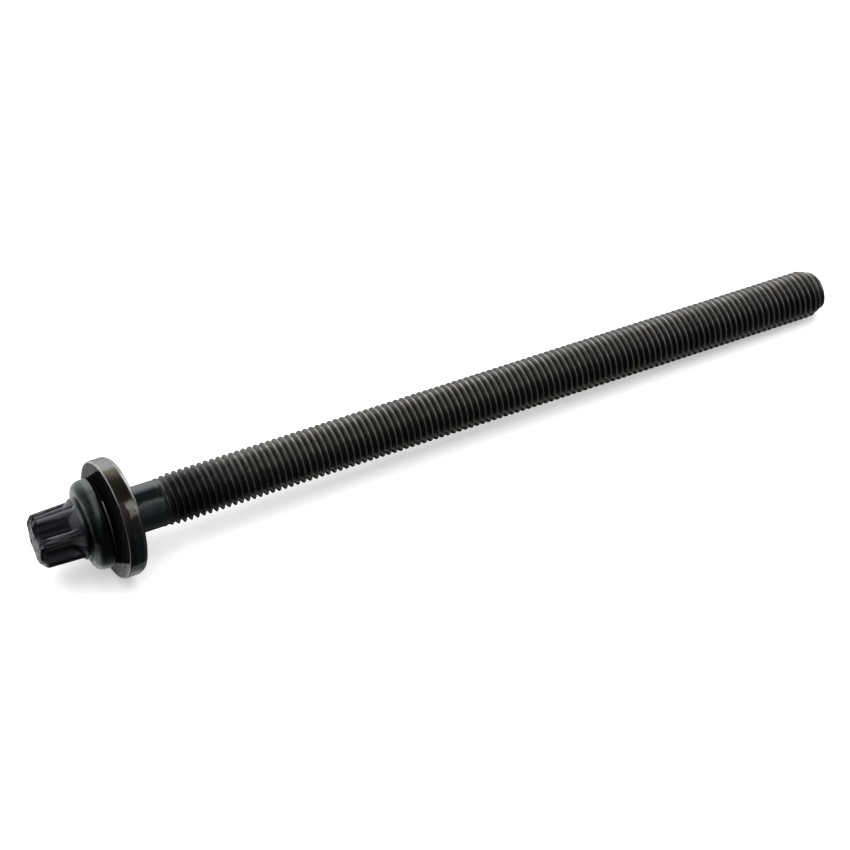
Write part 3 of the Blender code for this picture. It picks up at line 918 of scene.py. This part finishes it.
# Painted reflection of the floor on the rim's bottom
PAINTED_FLOOR_REFLECTION = colour(0.86, 0.87, 0.89)
OLIVE = colour(0.165, 0.165, 0.125)
BRONZE = colour(0.11, 0.105, 0.08)
MOTTLED = colour(0.50, 0.495, 0.46)
BROWN = colour(0.075, 0.070, 0.070)
TEAL = colour(0.105, 0.120, 0.128)
STAIN = colour(0.11, 0.105, 0.085)
# Worn edges with painted highlights
WORN_EDGE_HIGHLIGHT = colour(0.80, 0.80, 0.79)
# Painted dark reflection on the near face, and its pale patches painted as reflections of the floor
PAINTED_DARK_FACE = colour(0.008, 0.008, 0.011), colour(0.030, 0.027, 0.026)
PAINTED_PALE_PATCHES = colour(0.10, 0.10, 0.105), colour(0.40, 0.40, 0.41)
# Painted shade on the reflections of the face's upper patch and of its dark part
UPPER_SHEEN = colour(0.55, 0.55, 0.56)
DARK_SHEEN = grey(0.05)

# Ramps round the washer's rim, with its stains, painted reflections and the painted highlights on its edges:
# (share of a turn from its top down its front, colour or shade)
NEAR_HALF = (
    (0.0, OLIVE), (0.045, OLIVE), (0.06, BRONZE), (0.08, BRONZE), (0.09, BROWN), (0.266, BROWN),
    (0.271, PAINTED_FLOOR_REFLECTION), (0.40, PAINTED_FLOOR_REFLECTION), (0.55, BARE), (0.68, BARE), (0.70, MOTTLED), (0.74, BARE),
    (0.968, BARE), (0.978, OLIVE),
)
FAR_HALF = (
    (0.0, OLIVE), (0.040, OLIVE), (0.052, BRONZE), (0.080, BRONZE), (0.086, MOTTLED), (0.118, MOTTLED),
    (0.128, BROWN), (0.16, BROWN), (0.17, TEAL), (0.266, TEAL), (0.271, PAINTED_FLOOR_REFLECTION), (0.32, PAINTED_FLOOR_REFLECTION), (0.335, BARE),
    (0.968, BARE), (0.978, OLIVE),
)
NEAR_EDGE_WEAR_AND_HIGHLIGHT = ((0.0, 0.62), (0.05, 0.62), (0.08, 0.35), (0.10, 0.12), (0.15, 0.06), (0.28, 0.3), (0.9, 0.5))
FAR_EDGE_WEAR_AND_HIGHLIGHT = (
    (0.0, 0.5), (0.03, 0.8), (0.11, 0.8), (0.135, 0.3), (0.17, 0.3), (0.26, 0.15), (0.28, 0.3), (0.9, 0.3),
)
# Painted shade on the rim's reflections, dimmer round its bottom and back
RIM_SHEEN = ((0.0, 1.0), (0.31, 1.0), (0.34, 0.75), (0.86, 0.6), (0.91, 1.0))

# Borders of the face's patches of painted floor reflection, as (factor on y, factor on x, offset): a point is
# in where the sum is above 0
UPPER_PATCH = (0.802, -0.597, -10.30 * MM)
LOWER_PATCH = (-0.71, 0.704, -9.85 * MM)


def rim_colour(graph, z, share, blotches, mottle):
    """Rim with stains and painted reflections round it, between two worn edges with painted highlights, and the
    mask of those edges.
    """
    across = graph.math("ADD", z, graph.spread(blotches, 2.4 * MM))
    # Stains and painted reflections round the rim, its bottom painted bright as a reflection of the floor
    near_half = graph.ramp(share, NEAR_HALF)
    far_half = graph.ramp(share, FAR_HALF)
    side = graph.mix(graph.smooth(across, 1.25 * MM, 1.5 * MM), near_half, far_half)
    side = graph.mix(graph.times(graph.smooth(mottle, 0.52, 0.64), 0.45), side, STAIN)
    far_start = WASHER_THICKNESS - FAR_RIM_EDGE
    # Worn edges with painted highlights, brightest near the top
    near_edge = graph.times(graph.smooth(z, 0.34 * MM, 0.22 * MM), graph.ramp(share, NEAR_EDGE_WEAR_AND_HIGHLIGHT))
    far_edge = graph.times(
        graph.smooth(z, far_start - 0.1 * MM, far_start + 0.05 * MM), graph.ramp(share, FAR_EDGE_WEAR_AND_HIGHLIGHT))
    edge = graph.math("MAXIMUM", near_edge, far_edge)
    return graph.mix(edge, side, WORN_EDGE_HIGHLIGHT), edge


def face_patches(graph, place, z, mottle):
    """Masks of the rougher patches of painted floor reflection on the near face, with all of the far face, and
    of the face's lower half.
    """
    parts = graph.node("ShaderNodeSeparateXYZ")
    graph.put(parts.inputs[0], place)
    down, away, _ = parts.outputs
    sides = []
    for by_away, by_down, offset in (UPPER_PATCH, LOWER_PATCH):
        sides.append(graph.math(
            "ADD", graph.math("MULTIPLY_ADD", away, by_away, offset), graph.math("MULTIPLY", down, by_down)))
    patch = graph.math("ADD", graph.math("MAXIMUM", *sides), graph.spread(mottle, 0.9 * MM))
    patch = graph.smooth(patch, -0.12 * MM, 0.12 * MM)
    patch = graph.math("MAXIMUM", patch, graph.smooth(z, 2.0 * MM, 2.5 * MM))
    return patch, graph.smooth(down, -1.0 * MM, 1.0 * MM)


def bare_steel(pose):
    """Bare steel: a rim with crisp stains and painted reflections, and a face painted dark as a reflection of
    shade, with two rougher patches of painted floor reflection.
    """
    material, graph, shader = new_material("bare_steel_stained_and_shaded")
    place, radius, angle, z = cylinder_coordinates(graph, pose)
    rim = graph.smooth(radius, 13.0 * MM, 13.2 * MM)
    blotches = graph.noise(graph.scaled(place, (1.0, 1.0, 0.8)), 380.0, 4.0, 0.6)
    mottle = graph.noise(place, 900.0, 4.0, 0.65)
    grain = graph.noise(graph.scaled(place, (0.35, 0.35, 3.0)), 1900.0, 3.0, 0.6)
    share = graph.math("MULTIPLY_ADD", angle, 0.5 / math.pi, 0.5)
    share = graph.math("FRACT", graph.math("ADD", share, graph.spread(blotches, 0.036)))
    side, edge = rim_colour(graph, z, share, blotches, mottle)
    patch, lower = face_patches(graph, place, z, mottle)
    lit = graph.math("MAXIMUM", patch, rim)

    # The face is painted dark as a reflection of shade, with pale patches painted as reflections of the floor
    dark = graph.mix(graph.smooth(mottle, 0.35, 0.65), *PAINTED_DARK_FACE)
    pale = graph.multiply(graph.mix(lower, *PAINTED_PALE_PATCHES), graph.ramp(mottle, ((0.35, 0.35), (0.65, 1.0))))
    face = graph.mix(patch, dark, pale)
    graph.put(shader.inputs["Base Color"], graph.mix(rim, face, side))
    # Painted shade on the reflections: little on the dark face, less on the upper patch than the lower, and
    # less round the rim's bottom and back
    sheen = graph.mix(rim, graph.mix(lower, UPPER_SHEEN, WHITE), graph.ramp(share, RIM_SHEEN))
    graph.put(shader.inputs["Specular Tint"], graph.mix(lit, DARK_SHEEN, sheen))
    graph.put(shader.inputs["Metallic"], graph.blend(lit, 0.5, 1.0))
    shader.inputs["Specular IOR Level"].default_value = 0.0

    side_rough = graph.blend(edge, graph.blend(mottle, 0.12, 0.34), 0.16)
    graph.put(shader.inputs["Roughness"], graph.blend(rim, graph.blend(patch, 0.12, 0.30), side_rough))
    normal = graph.bump(grain, 0.03 * MM, graph.blend(rim, graph.times(patch, 0.5), 0.4))
    normal = graph.bump(mottle, 0.04 * MM, graph.times(lit, 0.25), normal)
    graph.put(shader.inputs["Normal"], normal)
    return material


# Studio

# Room in glossy steel: (share of the way from the horizon behind the part over its top to the front, shade)
ROOM_BY_SHANK = (
    (0.0, 1.08), (0.155, 1.08), (0.19, 0.82), (0.256, 0.42), (0.31, 0.08), (0.55, 0.07),
    (0.60, 0.16), (0.63, 0.41), (0.67, 0.38), (0.73, 0.22), (0.85, 0.13), (1.0, 0.08),
)
ROOM_BY_HEAD = (
    (0.0, 0.75), (0.10, 0.55), (0.155, 0.40), (0.22, 0.28), (0.35, 0.22), (0.5, 0.16), (0.6, 0.11), (0.7, 0.07),
    (0.8, 0.06), (1.0, 0.06),
)
ROOM_HEAD_STARTS = (-0.25, -0.6)

FLOOR_SIZE = 6.0
FLOOR_DROP = 0.02 * MM
FLOOR_SHADE = 0.8

# Share of white that the floor shows of itself, so that the part's shadow on it stays light
FLOOR_GLOW = 0.42

# Floor in glossy steel: (share of the way from FLOOR_FRONT back over FLOOR_DEPTH, shade)
FLOOR_FRONT = -0.025
FLOOR_DEPTH = 0.2
FLOOR_BY_SHANK = (
    (0.0, 0.04), (0.05, 0.05), (0.066, 0.10), (0.080, 0.13), (0.10, 0.12), (0.125, 0.10), (0.275, 0.28),
    (0.875, 0.80),
)
FLOOR_BY_HEAD = (
    (0.0, 0.03), (0.040, 0.04), (0.049, 0.07), (0.058, 0.14), (0.068, 0.30), (0.079, 0.55), (0.086, 0.85),
    (0.10, 1.0), (0.2, 1.0), (0.44, 0.65), (0.73, 0.45), (1.0, 0.35),
)
FLOOR_HEAD_STARTS = (-0.0775, -0.0795)

LAMP_SIZE = 1.8
LAMP_POWER = 32.0
LAMP_FROM_TARGET = Vector((0.0, 0.1, 1.4))


def lit_world():
    """White where it is seen itself; in steel a bright sheet behind the part, a dark room and a soft strip."""
    world = bpy.data.worlds.new("studio")
    bpy.context.scene.world = world
    world.use_nodes = True
    graph = Graph(world.node_tree)
    background = world.node_tree.nodes["Background"]
    parts = graph.node("ShaderNodeSeparateXYZ")
    graph.put(parts.inputs[0], graph.node("ShaderNodeTexCoord").outputs["Generated"])
    height = graph.math("ARCTAN2", parts.outputs[2], parts.outputs[1])
    share = graph.math("DIVIDE", graph.math("ABSOLUTE", height), math.pi)
    by_head = graph.smooth(parts.outputs[0], *ROOM_HEAD_STARTS)
    glow = graph.mix(by_head, graph.ramp(share, ROOM_BY_SHANK), graph.ramp(share, ROOM_BY_HEAD))
    seen = graph.node("ShaderNodeLightPath").outputs["Is Camera Ray"]
    graph.put(background.inputs["Color"], graph.mix(seen, glow, WHITE))
    background.inputs["Strength"].default_value = 1.0


def white_floor(centre):
    """Pale floor, plain white where it is seen itself and dimmer towards the front of the studio."""
    bpy.ops.mesh.primitive_plane_add(size=FLOOR_SIZE, location=(centre.x, centre.y, -FLOOR_DROP))
    floor = bpy.context.object
    floor.name = "studio_floor"
    material, graph, shader = new_material("floor_white")
    path = graph.node("ShaderNodeLightPath")
    parts = graph.node("ShaderNodeSeparateXYZ")
    graph.put(parts.inputs[0], graph.node("ShaderNodeNewGeometry").outputs["Position"])
    depth = graph.math("MULTIPLY_ADD", parts.outputs[1], 1.0 / FLOOR_DEPTH, -FLOOR_FRONT / FLOOR_DEPTH)
    by_head = graph.smooth(parts.outputs[0], *FLOOR_HEAD_STARTS)
    glossy = graph.mix(by_head, graph.ramp(depth, FLOOR_BY_SHANK), graph.ramp(depth, FLOOR_BY_HEAD))
    plain = graph.mix(path.outputs["Is Glossy Ray"], grey(FLOOR_SHADE), glossy)
    graph.put(shader.inputs["Base Color"], graph.mix(path.outputs["Is Camera Ray"], plain, WHITE))
    shader.inputs["Emission Color"].default_value = WHITE
    graph.put(shader.inputs["Emission Strength"], graph.times(path.outputs["Is Camera Ray"], FLOOR_GLOW))
    shader.inputs["Roughness"].default_value = 0.9
    shader.inputs["Specular IOR Level"].default_value = 0.0
    floor.data.materials.append(material)


def overhead_light(centre):
    """Large soft lamp straight above, which lights the floor and keeps the part's shadow soft."""
    lamp = bpy.data.lights.new("overhead", "AREA")
    lamp.shape = "SQUARE"
    lamp.size = LAMP_SIZE
    lamp.energy = LAMP_POWER
    item = bpy.data.objects.new("overhead", lamp)
    item.location = centre + LAMP_FROM_TARGET
    item.rotation_euler = (centre - item.location).to_track_quat("-Z", "Y").to_euler()
    item.visible_glossy = False
    bpy.context.scene.collection.objects.link(item)


def camera_at(target):
    """Camera at the photograph's angle and distance, looking at target."""
    forward = Vector((
        math.cos(CAMERA_ELEVATION) * math.sin(CAMERA_TURN),
        math.cos(CAMERA_ELEVATION) * math.cos(CAMERA_TURN),
        -math.sin(CAMERA_ELEVATION),
    ))
    data = bpy.data.cameras.new("camera")
    data.lens = CAMERA_LENS_MM
    data.sensor_width = CAMERA_SENSOR_MM
    data.clip_start = 0.01
    item = bpy.data.objects.new("camera", data)
    turn = forward.to_track_quat("-Z", "Y")
    up = turn @ Vector((0.0, 1.0, 0.0))
    item.location = target - forward * CAMERA_DISTANCE - up * CAMERA_DROP
    item.rotation_euler = turn.to_euler()
    bpy.context.scene.collection.objects.link(item)
    bpy.context.scene.camera = item


def main():
    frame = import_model()
    mounts = {mount["name"]: mount for mount in frame["record"]["mounts"]}
    spin = next(joint for joint in frame["joints"] if joint["name"] == "washer_spin")

    end = mounts["drive_end"]
    axis = -Vector(end["axis"])
    bolt_place = Vector(end["pos_m"]) + axis * (DRIVE_HEIGHT - DRIVE_END_DISH)
    pose = frame_matrix(bolt_place, axis)
    washer_axis = Vector(spin["axis"])
    washer_place = Vector(spin["pos_m"]) - washer_axis * (0.5 * WASHER_THICKNESS)
    bolt = build_bolt(black_steel(pose), pose, washer_place, washer_axis)
    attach(bolt, "bolt")
    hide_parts("bolt")

    pose = frame_matrix(washer_place, washer_axis)
    washer = build_washer(bare_steel(pose), pose)
    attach(washer, "washer")
    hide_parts("washer")

    target = bolt_place + axis * CAMERA_TARGET_ALONG
    lit_world()
    white_floor(target)
    overhead_light(target)
    camera_at(target)
    bpy.context.scene.view_settings.view_transform = "Standard"


main()
